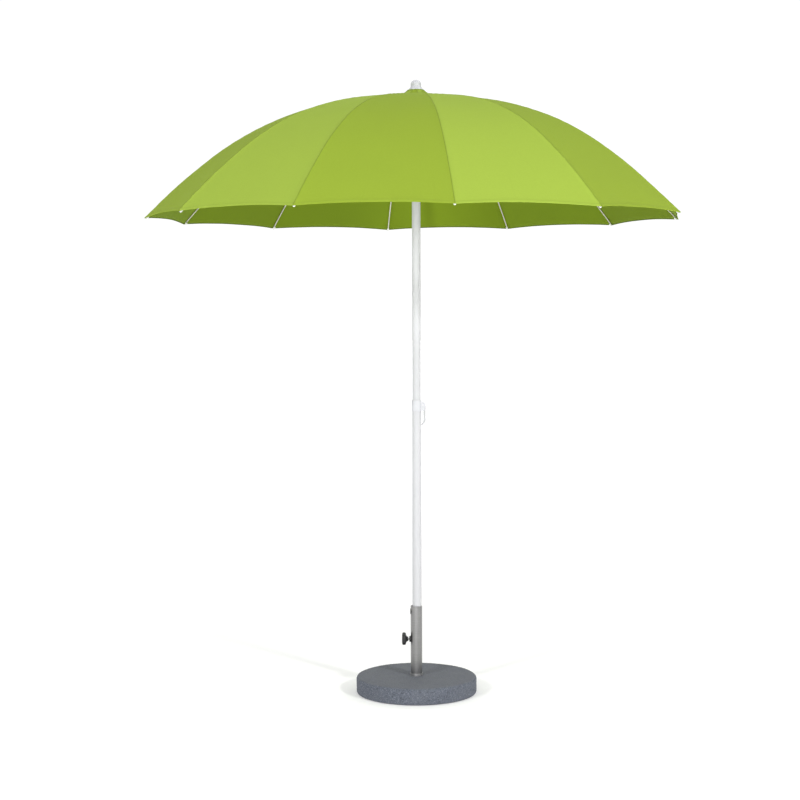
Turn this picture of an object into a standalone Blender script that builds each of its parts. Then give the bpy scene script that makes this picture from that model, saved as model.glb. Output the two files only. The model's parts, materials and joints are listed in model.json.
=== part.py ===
"""A patio umbrella on its stand: a round slab and steel tube, a two-part pole and a twelve-rib canopy.

Metres, +Z up. The pole's axis is the Z axis and the floor is z = 0. The clamp knob points to -X and
the pole's height lever to +X. The canopy is open; its ribs fold down as the runner slides down.
"""

import math

import bmesh
import bpy
from mathutils import Matrix, Vector

# Canopy
RIB_COUNT = 12
CANOPY_RADIUS = 1.100
RIM_HEIGHT = 1.975
FIRST_RIB_ANGLE = math.radians(-83.0)
CROWN_SLOPE = 0.0195
RIM_SLOPE = 1.0892
BEND_RADIUS = 0.6791
BEND_LENGTH = 0.2105
CLOTH = 0.0014
SCALLOP = 0.010
CROWN_TOP = 2.4934
CROWN_HOLE_RADIUS = 0.009
CROWN_FLAT_RADIUS = 0.034
CROWN_FOOT_RADIUS = 0.058

# Rib linkage
HINGE_RADIUS = 0.035
RIB_RADIUS = 0.0025
RIB_BELOW_CLOTH = 0.0044
RIB_STEPS = 10
CLIP_STEP = 5
CLIP_DROP = 0.007
PIN_RADIUS = 0.0015
EYE_HOLE_RADIUS = 0.0020
TONGUE_RADIUS = 0.0042
TONGUE_WIDTH = 0.004
TONGUE_LENGTH = 0.0160
TONGUE_TAPER = 0.0120
LUG_REACH = 0.0080
LUG_BACK = 0.0060
STRUT_HALF_HEIGHT = 0.0025
STRUT_EYE_RADIUS = 0.0040
FORK_RADIUS = 0.0036
FORK_THICKNESS = 0.0012
FORK_LENGTH = 0.0160
FORK_BRIDGE = (0.0095, 0.0150)
SIDE_GAP = 0.0005
OVERLAP = 0.0002
SLOT_WIDTH = 0.006
SLOT_RADIUS = 0.0302
RUNNER_RADIUS = 0.0405
RUNNER_CROWN_HALF = 0.0130
RUNNER_SLEEVE_RADIUS = 0.0235
RUNNER_SLEEVE_DROP = 0.0430
RUNNER_CLEARANCE = 0.0004
HUB_RADIUS = 0.0415
HUB_TOP_RADIUS = 0.0325
HUB_SHOULDER = 0.0130
HUB_SLOT_RISE = 0.0050
HUB_DROP = 0.0110
HUB_SKIRT_RADIUS = 0.0225
HUB_SKIRT_DROP = 0.0185
CATCH_BELOW_RUNNER = 0.0030
CATCH_LENGTH = 0.0180
CATCH_REACH = 0.0210
CATCH_TIP_REACH = 0.0165
CATCH_INNER_REACH = 0.0070
CATCH_LEG_REACH = 0.0120
CATCH_FACE = 0.0050
CATCH_SHELF = 0.0030
CATCH_HALF_WIDTH = 0.0027
CATCH_SLOT_MARGIN = 0.0006

# Finial
FINIAL_FLANGE_RADIUS = 0.0305
FINIAL_FLANGE_HEIGHT = 0.0012
FINIAL_RADIUS = 0.0218
FINIAL_BODY_FOOT = 0.0113
FINIAL_DOME_FOOT = 0.0203
FINIAL_DOME_HEIGHT = 0.0200
STEM_RADIUS = 0.0040
STEM_HOLE_RADIUS = 0.0043
STEM_LENGTH = 0.0230

# Pole
UPPER_RADIUS = 0.0175
UPPER_WALL = 0.0015
UPPER_BOTTOM = 0.900
UPPER_TOP = 2.4840
LOWER_RADIUS = 0.0190
LOWER_WALL = 0.0012
LOWER_BOTTOM = 0.0840
LOWER_TOP = 1.1925
PLUG_HEIGHT = 0.0180
PLUG_CAP = 0.0062
PLUG_CHAMFER = 0.0010
BUSH_BORE = 0.0110
BUSH_HEIGHT = 0.0200
BUSH_CAP = 0.0120
GAP = 0.0003

# Height clamp on the pole
COLLAR_BOTTOM = 1.1765
COLLAR_TOP = 1.2205
COLLAR_RADIUS = 0.0208
LEVER_PIN_X = 0.0230
LEVER_PIN_Z = 1.1995
CHEEK_RADIUS = 0.0145
CHEEK_INSIDE = 0.0073
CHEEK_OUTSIDE = 0.0108
LEVER_HOLE_RADIUS = 0.0023
LEVER_WIDTH = 0.0140
LEVER_FACE = 0.0148
LEVER_THICKNESS = 0.0100
LEVER_LENGTH = 0.0834
LEVER_TIP_RADIUS = 0.0140
LEVER_TIP_RISE = 0.0220
LEVER_PIN_RADIUS = 0.0020
CHEEK_ROOT_X = 0.0040
CHEEK_REACH = 0.0300
CAM_RADIUS = 0.0045
CAM_OFFSET = 0.0007
CAM_WINDOW = 0.0062
CHEEK_FLAT_X = 0.0192
CHEEK_FLAT_RISE = 0.0160

# Stand
STAND_X = -0.0027
SLAB_RADIUS = 0.2505
SLAB_BOTTOM = 0.0025
SLAB_TOP = 0.0700
SLAB_TOP_EDGE = 0.0110
SLAB_LOW_EDGE = 0.0140
SLAB_DRAFT = 0.0005
SLAB_HOLE_RADIUS = 0.0065
POCKET_RADIUS = 0.0180
POCKET_TOP = 0.0245
BOLT_HEAD_RADIUS = 0.0095
BOLT_HEAD = (0.0120, 0.0195)
BOLT_SHANK_RADIUS = 0.0055
WASHER_RADII = (0.0060, 0.0150)
WASHER = (0.0198, 0.0242)
FOOT_PAD_RADIUS = 0.018
FOOT_PAD_CIRCLE = 0.170
TUBE_RADIUS = 0.0240
TUBE_WALL = 0.0020
TUBE_TOP = 0.3624
TUBE_PLATE = 0.0050
TUBE_PLATE_HOLE = 0.0058
FOOT_RING_HEIGHT = 0.0100
FOOT_RING_WALL = 0.0014
INSERT_HOLE_RADIUS = 0.0078
INSERT_RADIUS = 0.0125
INSERT_LIP = 0.0012
INSERT_SEAT = 0.0206
BLANKING_Z = 0.3395

# Clamp screw of the stand
CLAMP_Z = 0.2230
STUD_RADIUS = 0.0040
STUD_HOLE_RADIUS = 0.0045
KNOB_RADIUS = 0.0273
KNOB_FACE_X = -0.0630
KNOB_LENGTH = 0.0265
KNOB_LOBES = 5
KNOB_LOBE_DEPTH = 0.12
KNOB_SMOOTH_RADIUS = 0.010
KNOB_SOCKET = 0.0100
BOSS_FACE_X = -0.0325
BLANKING_FACE_X = -0.0282
PAD_THICKNESS = 0.0020

ROUND = 32
SMALL_ROUND = 12
AROUND_X = Matrix.Rotation(math.radians(90.0), 4, "Y")
AROUND_Y = Matrix.Rotation(math.radians(90.0), 4, "X")

for old in list(bpy.data.objects):
    bpy.data.objects.remove(old, do_unlink=True)


# Materials


def material(name, colour, roughness, metallic=0.0):
    made = bpy.data.materials.new(name)
    made.use_nodes = True
    shader = made.node_tree.nodes["Principled BSDF"]
    shader.inputs["Base Color"].default_value = (*colour, 1.0)
    shader.inputs["Roughness"].default_value = roughness
    shader.inputs["Metallic"].default_value = metallic
    made.diffuse_color = (*colour, 1.0)
    return made


CONCRETE = material("concrete", (0.17, 0.18, 0.20), 0.9)
RUBBER = material("rubber", (0.03, 0.03, 0.03), 0.8)
STEEL = material("brushed_steel", (0.56, 0.55, 0.54), 0.35, 1.0)
ZINC = material("zinc_plate", (0.62, 0.62, 0.60), 0.4, 1.0)
BLACK_PLASTIC = material("black_plastic", (0.015, 0.015, 0.016), 0.5)
NYLON = material("nylon", (0.80, 0.79, 0.74), 0.5)
WHITE_PAINT = material("white_paint", (0.82, 0.83, 0.85), 0.3)
WHITE_PLASTIC = material("white_plastic", (0.80, 0.81, 0.82), 0.4)
SPRING_STEEL = material("spring_steel", (0.45, 0.45, 0.46), 0.3, 1.0)
FIBREGLASS = material("fibreglass", (0.78, 0.77, 0.70), 0.45)
STRUT_PAINT = material("strut_paint", (0.80, 0.80, 0.80), 0.35)
CLOTH_GREEN = material("green_cloth", (0.36, 0.50, 0.06), 0.9)


# Mesh helpers


def add(name, mesh, look, location=(0.0, 0.0, 0.0), turn=0.0):
    piece = bpy.data.objects.new(name, mesh)
    bpy.context.scene.collection.objects.link(piece)
    piece.location = location
    piece.rotation_euler = (0.0, 0.0, turn)
    if look is not None and not mesh.materials:
        mesh.materials.append(look)
    return piece


def to_mesh(bm, name, placed=None, smooth_below=math.radians(40.0)):
    if placed is not None:
        bmesh.ops.transform(bm, matrix=placed, verts=bm.verts)
    bmesh.ops.recalc_face_normals(bm, faces=bm.faces)
    mesh = bpy.data.meshes.new(name)
    bm.to_mesh(mesh)
    bm.free()
    mesh.shade_smooth()
    mesh.set_sharp_from_angle(angle=smooth_below)
    return mesh


def turned(name, outline, segments=ROUND, placed=None, closed=False):
    """A solid of revolution about Z from (radius, z) points; closed joins the last point to the first."""
    bm = bmesh.new()
    points = [bm.verts.new((radius, 0.0, z)) for radius, z in outline]
    edges = [bm.edges.new(pair) for pair in zip(points, points[1:])]
    if closed:
        edges.append(bm.edges.new((points[-1], points[0])))
    bmesh.ops.spin(bm, geom=points + edges, cent=(0.0, 0.0, 0.0), axis=(0.0, 0.0, 1.0),
                   angle=2.0 * math.pi, steps=segments, use_merge=True)
    bmesh.ops.remove_doubles(bm, verts=bm.verts, dist=1e-6)
    return to_mesh(bm, name, placed)


def ring(name, inner, outer, low, high, segments=ROUND, placed=None):
    outline = [(inner, high), (outer, high), (outer, low), (inner, low)]
    return turned(name, outline, segments, placed, closed=True)


def rod(name, radius, low, high, segments=SMALL_ROUND, placed=None):
    return turned(name, [(0.0, high), (radius, high), (radius, low), (0.0, low)], segments, placed)


def plate(name, outline, near, far, placed=None):
    """A flat plate: an outline of (x, z) points, between y = near and y = far."""
    bm = bmesh.new()
    face = bm.faces.new([bm.verts.new((x, near, z)) for x, z in outline])
    grown = bmesh.ops.extrude_face_region(bm, geom=[face])
    moved = [item for item in grown["geom"] if isinstance(item, bmesh.types.BMVert)]
    bmesh.ops.translate(bm, verts=moved, vec=(0.0, far - near, 0.0))
    return to_mesh(bm, name, placed)


def arc(centre_x, centre_z, radius, start, end, steps):
    """Points (x, z) on an arc, with its angles in degrees from +X towards +Z."""
    angles = [math.radians(start + (end - start) * step / steps) for step in range(steps + 1)]
    return [(centre_x + radius * math.cos(a), centre_z + radius * math.sin(a)) for a in angles]


def block(name, low, high):
    outline = [(low[0], low[2]), (high[0], low[2]), (high[0], high[2]), (low[0], high[2])]
    return plate(name, outline, low[1], high[1])


def cutter(name, mesh):
    tool = add(name, mesh, None)
    tool.hide_render = True
    tool.display_type = "WIRE"
    return tool


def combine(piece, tool, operation):
    tool.parent = piece
    change = piece.modifiers.new(operation.lower(), "BOOLEAN")
    change.operation = operation
    change.solver = "EXACT"
    change.object = tool
    return piece


def cut(piece, mesh):
    return combine(piece, cutter(mesh.name + "_cutter", mesh), "DIFFERENCE")


def join(piece, mesh):
    return combine(piece, cutter(mesh.name + "_shape", mesh), "UNION")


def settle(piece):
    """Applies the modifiers of a repeated piece, so that its copies can share the mesh."""
    seen = piece.evaluated_get(bpy.context.evaluated_depsgraph_get())
    mesh = bpy.data.meshes.new_from_object(seen)
    mesh.name = piece.name + "_mesh"
    mesh.shade_smooth()
    mesh.set_sharp_from_angle(angle=math.radians(40.0))
    piece.modifiers.clear()
    for tool in list(piece.children):
        bpy.data.objects.remove(tool, do_unlink=True)
    piece.data = mesh
    return mesh


# Canopy and linkage geometry, in one rib's upright plane: x outwards from the pole, z up


def slope_share(x):
    return BEND_LENGTH * math.log(1.0 + math.exp((x - BEND_RADIUS) / BEND_LENGTH))


def cloth_height(x):
    """Height of the cloth's outer face over a rib: nearly level at the crown and steep at the rim."""
    level = CROWN_SLOPE * (CANOPY_RADIUS - x)
    fall = RIM_SLOPE * (slope_share(CANOPY_RADIUS) - slope_share(x))
    return RIM_HEIGHT + level + fall


def below_cloth(x, depth):
    step = 0.001
    tangent = Vector((2.0 * step, cloth_height(x + step) - cloth_height(x - step))).normalized()
    return Vector((x + tangent.y * depth, cloth_height(x) - tangent.x * depth))


RIB_LINE = [CROWN_FOOT_RADIUS + (CANOPY_RADIUS - CROWN_FOOT_RADIUS) * step / RIB_STEPS
            for step in range(RIB_STEPS + 1)]
HINGE = Vector((HINGE_RADIUS, cloth_height(HINGE_RADIUS) - RIB_BELOW_CLOTH))
CLIP = below_cloth(RIB_LINE[CLIP_STEP], RIB_BELOW_CLOTH + CLIP_DROP)
RUNNER_HINGE = Vector((HINGE_RADIUS, 2.0 * CLIP.y - HINGE.y))
RIB_ANGLES = [FIRST_RIB_ANGLE + 2.0 * math.pi * number / RIB_COUNT for number in range(RIB_COUNT)]


def at_angle(point, angle):
    return (point.x * math.cos(angle), point.x * math.sin(angle), point.y)


# Stand


def build_stand():
    here = (STAND_X, 0.0, 0.0)
    middle = 0.5 * (SLAB_TOP + SLAB_BOTTOM)
    edge = SLAB_RADIUS - SLAB_DRAFT
    top_edge = arc(edge - SLAB_TOP_EDGE, SLAB_TOP - SLAB_TOP_EDGE, SLAB_TOP_EDGE, 90.0, 10.0, 3)
    low_edge = arc(edge - SLAB_LOW_EDGE, SLAB_BOTTOM + SLAB_LOW_EDGE, SLAB_LOW_EDGE, -10.0, -90.0, 3)
    under = [(POCKET_RADIUS, SLAB_BOTTOM), (POCKET_RADIUS, POCKET_TOP), (SLAB_HOLE_RADIUS, POCKET_TOP),
             (SLAB_HOLE_RADIUS, SLAB_TOP)]
    outline = top_edge + [(SLAB_RADIUS, middle)] + low_edge + under
    add("base_slab", turned("base_slab", outline, 44, closed=True), CONCRETE, here)

    pad = rod("foot_pad", FOOT_PAD_RADIUS, 0.0, SLAB_BOTTOM - GAP, 16)
    for number in range(3):
        angle = math.radians(90.0 + 120.0 * number)
        place = (STAND_X + FOOT_PAD_CIRCLE * math.cos(angle), FOOT_PAD_CIRCLE * math.sin(angle), 0.0)
        add(f"foot_pad_{number + 1}", pad, RUBBER, place)

    low = SLAB_TOP + GAP
    inside = TUBE_RADIUS - TUBE_WALL
    outline = [(inside, TUBE_TOP), (TUBE_RADIUS, TUBE_TOP), (TUBE_RADIUS, low), (TUBE_PLATE_HOLE, low),
               (TUBE_PLATE_HOLE, low + TUBE_PLATE), (inside, low + TUBE_PLATE)]
    tube = add("stand_tube", turned("stand_tube", outline, ROUND, closed=True), STEEL, here)
    for name, height in (("screw", CLAMP_Z), ("blanking", BLANKING_Z)):
        through = Matrix.Translation((0.0, 0.0, height)) @ AROUND_X
        cut(tube, rod(name, INSERT_HOLE_RADIUS, -0.040, 0.0, SMALL_ROUND, through))

    ring_inside = TUBE_RADIUS + GAP
    foot = ring("tube_foot_ring", ring_inside, ring_inside + FOOT_RING_WALL, low, low + FOOT_RING_HEIGHT)
    add("tube_foot_ring", foot, ZINC, here)
    head = rod("base_bolt", BOLT_HEAD_RADIUS, *BOLT_HEAD, 6)
    bolt = add("base_bolt", head, ZINC, here)
    shank_start = BOLT_HEAD[1] - SIDE_GAP
    join(bolt, rod("bolt_shank", BOLT_SHANK_RADIUS, shank_start, low + TUBE_PLATE + 0.0010))
    washer = ring("base_washer", *WASHER_RADII, *WASHER, 24)
    add("base_washer", washer, ZINC, here)


def insert(name, look, height, outer_x, hole):
    """A round insert in the tube's wall, with a saddle-shaped flange outside and a neck inside."""
    back = STAND_X - INSERT_SEAT
    outline = [(hole, back), (INSERT_RADIUS, back), (INSERT_RADIUS, outer_x + INSERT_LIP),
               (INSERT_RADIUS - INSERT_LIP, outer_x), (hole, outer_x)]
    placed = Matrix.Translation((0.0, 0.0, height)) @ AROUND_X
    piece = add(name, turned(name, outline, 16, placed, closed=hole > 0.0), look)
    skin = ring(name + "_wall", 0.010, TUBE_RADIUS + GAP, height - 0.03, height + 0.03, ROUND,
                Matrix.Translation((STAND_X, 0.0, 0.0)))
    neck = rod(name + "_neck", INSERT_HOLE_RADIUS - GAP, -0.0330, -0.0100, SMALL_ROUND, placed)
    wall = cut(cutter(name + "_saddle", skin), neck)
    return combine(piece, wall, "DIFFERENCE")


def knob_mesh():
    """A five-lobed knob about its screw axis, its back hub towards the tube."""
    outline = [(0.0, 0.0), (0.0160, 0.0), (0.0250, 0.0016), (KNOB_RADIUS, 0.0050), (KNOB_RADIUS, 0.0120),
               (0.0245, 0.0155), (0.0150, 0.0180), (0.0105, 0.0210), (0.0085, KNOB_LENGTH),
               (STUD_HOLE_RADIUS, KNOB_LENGTH), (STUD_HOLE_RADIUS, KNOB_SOCKET), (0.0, KNOB_SOCKET)]
    segments = 6 * KNOB_LOBES
    bm = bmesh.new()
    rows = []
    for radius, depth in outline:
        share = (radius - KNOB_SMOOTH_RADIUS) / (KNOB_RADIUS - KNOB_SMOOTH_RADIUS)
        deepest = KNOB_LOBE_DEPTH * max(0.0, min(1.0, share))
        row = []
        for step in range(segments):
            angle = 2.0 * math.pi * step / segments
            reach = radius * (1.0 - deepest * 0.5 * (1.0 - math.cos(KNOB_LOBES * angle)))
            row.append(bm.verts.new((depth, reach * math.cos(angle), reach * math.sin(angle))))
        rows.append(row)
    for first, second in zip(rows, rows[1:]):
        for step in range(segments):
            after = (step + 1) % segments
            bm.faces.new((first[step], first[after], second[after], second[step]))
    bmesh.ops.remove_doubles(bm, verts=bm.verts, dist=1e-6)
    return to_mesh(bm, "clamp_knob")


def build_clamp_screw():
    insert("clamp_boss", BLACK_PLASTIC, CLAMP_Z, BOSS_FACE_X, STUD_HOLE_RADIUS)
    insert("blanking_plug", BLACK_PLASTIC, BLANKING_Z, BLANKING_FACE_X, 0.0)
    axis = (0.0, 0.0, CLAMP_Z)
    pole_face = -LOWER_RADIUS - GAP
    pad_back = pole_face - PAD_THICKNESS
    pad = rod("clamp_pad", STUD_RADIUS - OVERLAP, pad_back, pole_face, SMALL_ROUND, AROUND_X)
    add("clamp_pad", pad, NYLON, axis)
    stud_start = KNOB_FACE_X + KNOB_SOCKET + GAP
    stud = rod("clamp_stud", STUD_RADIUS, stud_start, pad_back - GAP, SMALL_ROUND, AROUND_X)
    add("clamp_stud", stud, ZINC, axis)
    add("clamp_knob", knob_mesh(), BLACK_PLASTIC, (KNOB_FACE_X, 0.0, CLAMP_Z))


# Pole


def build_pole():
    lower = ring("lower_tube", LOWER_RADIUS - LOWER_WALL, LOWER_RADIUS, LOWER_BOTTOM, LOWER_TOP)
    add("lower_tube", lower, WHITE_PAINT)
    inside = LOWER_RADIUS - LOWER_WALL - GAP
    seat, foot = LOWER_BOTTOM - GAP, LOWER_BOTTOM - PLUG_CAP
    plug = [(0.0, LOWER_BOTTOM + PLUG_HEIGHT), (inside, LOWER_BOTTOM + PLUG_HEIGHT), (inside, seat),
            (LOWER_RADIUS, seat), (LOWER_RADIUS - PLUG_CHAMFER, foot), (0.0, foot)]
    add("lower_end_plug", turned("lower_end_plug", plug), BLACK_PLASTIC)

    upper = ring("upper_tube", UPPER_RADIUS - UPPER_WALL, UPPER_RADIUS, UPPER_BOTTOM, UPPER_TOP)
    tube = add("upper_tube", upper, WHITE_PAINT)
    top = catch_top()
    slot_half = CATCH_HALF_WIDTH + CATCH_SLOT_MARGIN
    cut(tube, block("catch_slot", (-slot_half, -0.030, top - CATCH_LENGTH - 5.0 * CATCH_SLOT_MARGIN),
                    (slot_half, -0.005, top + 0.0010)))
    inside = UPPER_RADIUS - UPPER_WALL - GAP
    seat, foot, head = UPPER_BOTTOM - GAP, UPPER_BOTTOM - BUSH_CAP, UPPER_BOTTOM + BUSH_HEIGHT
    guide = [(BUSH_BORE, head), (inside, head), (inside, seat), (UPPER_RADIUS, seat), (UPPER_RADIUS, foot),
             (BUSH_BORE, foot)]
    add("upper_guide_bush", turned("upper_guide_bush", guide, closed=True), BLACK_PLASTIC)


def build_height_clamp():
    """The collar on the lower pole, with a cam lever between two cheeks that presses on the upper pole."""
    body = rod("clamp_collar", COLLAR_RADIUS, COLLAR_BOTTOM, COLLAR_TOP, ROUND)
    collar = add("clamp_collar", body, WHITE_PLASTIC)
    head = arc(LEVER_PIN_X, LEVER_PIN_Z, CHEEK_RADIUS, -35.0, 90.0, 6)
    cheek = [(CHEEK_ROOT_X, COLLAR_BOTTOM + GAP), (CHEEK_REACH, COLLAR_BOTTOM + GAP)] + head
    cheek.append((CHEEK_ROOT_X, LEVER_PIN_Z + CHEEK_RADIUS))
    join(collar, plate("near_cheek", cheek, -CHEEK_OUTSIDE, -CHEEK_INSIDE))
    join(collar, plate("far_cheek", cheek, CHEEK_INSIDE, CHEEK_OUTSIDE))
    step = LOWER_TOP + GAP
    above, below = COLLAR_TOP + 0.01, COLLAR_BOTTOM - 0.01
    socket = [(0.0, above), (UPPER_RADIUS + GAP, above), (UPPER_RADIUS + GAP, step),
              (LOWER_RADIUS + GAP, step), (LOWER_RADIUS + GAP, below), (0.0, below)]
    cut(collar, turned("collar_bore", socket, ROUND))
    window_low = LEVER_PIN_Z - CAM_WINDOW
    cut(collar, block("cam_window", (0.010, -CHEEK_INSIDE, window_low),
                      (0.050, CHEEK_INSIDE, LEVER_PIN_Z + CAM_WINDOW)))
    cut(collar, block("cheek_flat", (CHEEK_FLAT_X, -CHEEK_INSIDE, window_low),
                      (0.050, CHEEK_INSIDE, LEVER_PIN_Z + CHEEK_FLAT_RISE)))
    at_pin = Matrix.Translation((LEVER_PIN_X, 0.0, LEVER_PIN_Z))
    cut(collar, rod("cheek_holes", LEVER_HOLE_RADIUS, -0.02, 0.02, SMALL_ROUND, at_pin @ AROUND_Y))
    pin_half = CHEEK_OUTSIDE + 0.0006
    pin = rod("lever_pin", LEVER_PIN_RADIUS, -pin_half, pin_half, SMALL_ROUND, AROUND_Y)
    add("lever_pin", pin, ZINC, (LEVER_PIN_X, 0.0, LEVER_PIN_Z))

    inner_face = LEVER_FACE - LEVER_THICKNESS
    cam = arc(-CAM_OFFSET, 0.0, CAM_RADIUS, -50.0, -320.0, 12)
    end = -LEVER_LENGTH
    tip = end + LEVER_TIP_RISE
    outline = cam + [(0.0100, 0.0022), (LEVER_FACE, 0.0), (LEVER_FACE, tip)]
    outline += arc(LEVER_FACE - LEVER_TIP_RADIUS, tip, LEVER_TIP_RADIUS, -15.0, -60.0, 3)
    outline += [(0.0040, end + 0.0035), (-0.0028, end), (-0.0028, end + 0.0060), (0.0030, end + 0.0105)]
    outline += [(inner_face - 0.0010, end + 0.0160), (inner_face, tip), (inner_face, -0.0110)]
    shape = plate("cam_lever", outline, -0.5 * LEVER_WIDTH, 0.5 * LEVER_WIDTH)
    lever = add("cam_lever", shape, WHITE_PLASTIC, (LEVER_PIN_X, 0.0, LEVER_PIN_Z))
    cut(lever, rod("lever_hole", LEVER_HOLE_RADIUS, -0.02, 0.02, SMALL_ROUND, AROUND_Y))


# Crown and runner


def build_crown():
    """The crown hub, with a slot for each rib and a hinge wire through all twelve eyes."""
    bottom = HINGE.y - HUB_DROP
    skirt = bottom - HUB_SKIRT_DROP
    top = CROWN_TOP - CLOTH - GAP
    outline = [(0.0, top), (HUB_TOP_RADIUS, top), (HUB_RADIUS, HINGE.y + HUB_SHOULDER), (HUB_RADIUS, bottom),
               (HUB_SKIRT_RADIUS, bottom), (HUB_SKIRT_RADIUS, skirt), (0.0, skirt)]
    hub = add("crown_hub", turned("crown_hub", outline), WHITE_PLASTIC)
    comb = bmesh.new()
    for angle in RIB_ANGLES:
        slot = block("slot", (SLOT_RADIUS, -0.5 * SLOT_WIDTH, bottom - 0.01),
                     (0.06, 0.5 * SLOT_WIDTH, HINGE.y + HUB_SLOT_RISE))
        slot.transform(Matrix.Rotation(angle, 4, "Z"))
        comb.from_mesh(slot)
    cut(hub, to_mesh(comb, "hub_slots"))
    wire = bmesh.new()
    corner = HINGE_RADIUS / math.cos(math.pi / RIB_COUNT)
    rows = []
    for angle in RIB_ANGLES:
        turn = angle + math.pi / RIB_COUNT
        row = []
        for side in range(8):
            lean = 2.0 * math.pi * (side + 0.5) / 8
            reach = corner + PIN_RADIUS * math.cos(lean)
            row.append(wire.verts.new((reach * math.cos(turn), reach * math.sin(turn),
                                       HINGE.y + PIN_RADIUS * math.sin(lean))))
        rows.append(row)
    for number, row in enumerate(rows):
        after = rows[(number + 1) % RIB_COUNT]
        for side in range(8):
            beyond = (side + 1) % 8
            wire.faces.new((row[side], row[beyond], after[beyond], after[side]))
    join(hub, to_mesh(wire, "hinge_wire"))
    socket = [(0.0, UPPER_TOP + GAP), (UPPER_RADIUS + GAP, UPPER_TOP + GAP),
              (UPPER_RADIUS + GAP, skirt - 0.01), (0.0, skirt - 0.01)]
    cut(hub, turned("hub_socket", socket))
    cut(hub, rod("stem_hole", STEM_HOLE_RADIUS, UPPER_TOP - 0.03, CROWN_TOP + 0.03))


def build_finial():
    """The cap over the crown: a stem in the hub, a flange on the cloth, a flared body and a dome."""
    low = CROWN_TOP + GAP
    flange_top = low + FINIAL_FLANGE_HEIGHT
    stem = [(0.0, low - STEM_LENGTH), (STEM_RADIUS, low - STEM_LENGTH), (STEM_RADIUS, low),
            (FINIAL_FLANGE_RADIUS, low), (FINIAL_FLANGE_RADIUS, flange_top)]
    flare = [(0.0275, low + 0.0050), (0.0235, low + 0.0085), (FINIAL_RADIUS, low + FINIAL_BODY_FOOT)]
    foot = low + FINIAL_DOME_FOOT
    dome = [(FINIAL_RADIUS * x, foot + FINIAL_DOME_HEIGHT * z) for x, z in arc(0.0, 0.0, 1.0, 0.0, 90.0, 5)]
    dome[-1] = (0.0, dome[-1][1])
    add("finial", turned("finial", stem + flare + dome, 24), WHITE_PLASTIC)


def runner_bottom():
    return RUNNER_HINGE.y - RUNNER_SLEEVE_DROP


def catch_top():
    return runner_bottom() - CATCH_BELOW_RUNNER


def build_runner():
    """The runner: a toothed crown with an open groove for each strut, on a grip sleeve."""
    half = 0.5 * SLOT_WIDTH
    groove = math.asin(half / SLOT_RADIUS)
    tooth = math.asin(half / RUNNER_RADIUS)
    pitch = 2.0 * math.pi / RIB_COUNT
    outer = []
    turns = []
    for angle in RIB_ANGLES:
        outer += [(SLOT_RADIUS, angle - groove), (SLOT_RADIUS, angle + groove)]
        outer += [(RUNNER_RADIUS, angle + tooth), (RUNNER_RADIUS, angle + pitch - tooth)]
        turns += [angle - 0.13 * pitch, angle + 0.13 * pitch, angle + 0.27 * pitch, angle + 0.73 * pitch]
    top = RUNNER_HINGE.y + RUNNER_CROWN_HALF
    bottom = RUNNER_HINGE.y - RUNNER_CROWN_HALF
    bore = UPPER_RADIUS + RUNNER_CLEARANCE
    bm = bmesh.new()
    rows = []
    for height in (top, bottom):
        rows.append([bm.verts.new((r * math.cos(a), r * math.sin(a), height)) for r, a in outer])
    for radius, height in ((RUNNER_SLEEVE_RADIUS, bottom), (RUNNER_SLEEVE_RADIUS, runner_bottom()),
                           (bore, runner_bottom()), (bore, top)):
        rows.append([bm.verts.new((radius * math.cos(a), radius * math.sin(a), height)) for a in turns])
    rows.append(rows[0])
    for first, second in zip(rows, rows[1:]):
        for step in range(len(outer)):
            after = (step + 1) % len(outer)
            bm.faces.new((first[step], first[after], second[after], second[step]))
    add("runner", to_mesh(bm, "runner"), WHITE_PLASTIC)


def build_catch():
    """A bent spring hook in the upper pole's slot, which the runner's sleeve rests on."""
    outline = [(-CATCH_INNER_REACH, 0.0), (-CATCH_REACH, 0.0), (-CATCH_REACH, -CATCH_FACE),
               (-CATCH_TIP_REACH, -CATCH_LENGTH), (-CATCH_LEG_REACH, -CATCH_LENGTH),
               (-CATCH_LEG_REACH, -CATCH_SHELF), (-CATCH_INNER_REACH, -CATCH_SHELF)]
    facing_front = Matrix.Rotation(math.radians(90.0), 4, "Z")
    catch = plate("runner_catch", outline, -CATCH_HALF_WIDTH, CATCH_HALF_WIDTH, facing_front)
    add("runner_catch", catch, SPRING_STEEL, (0.0, 0.0, catch_top()))


# Ribs, struts and cloth


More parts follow.
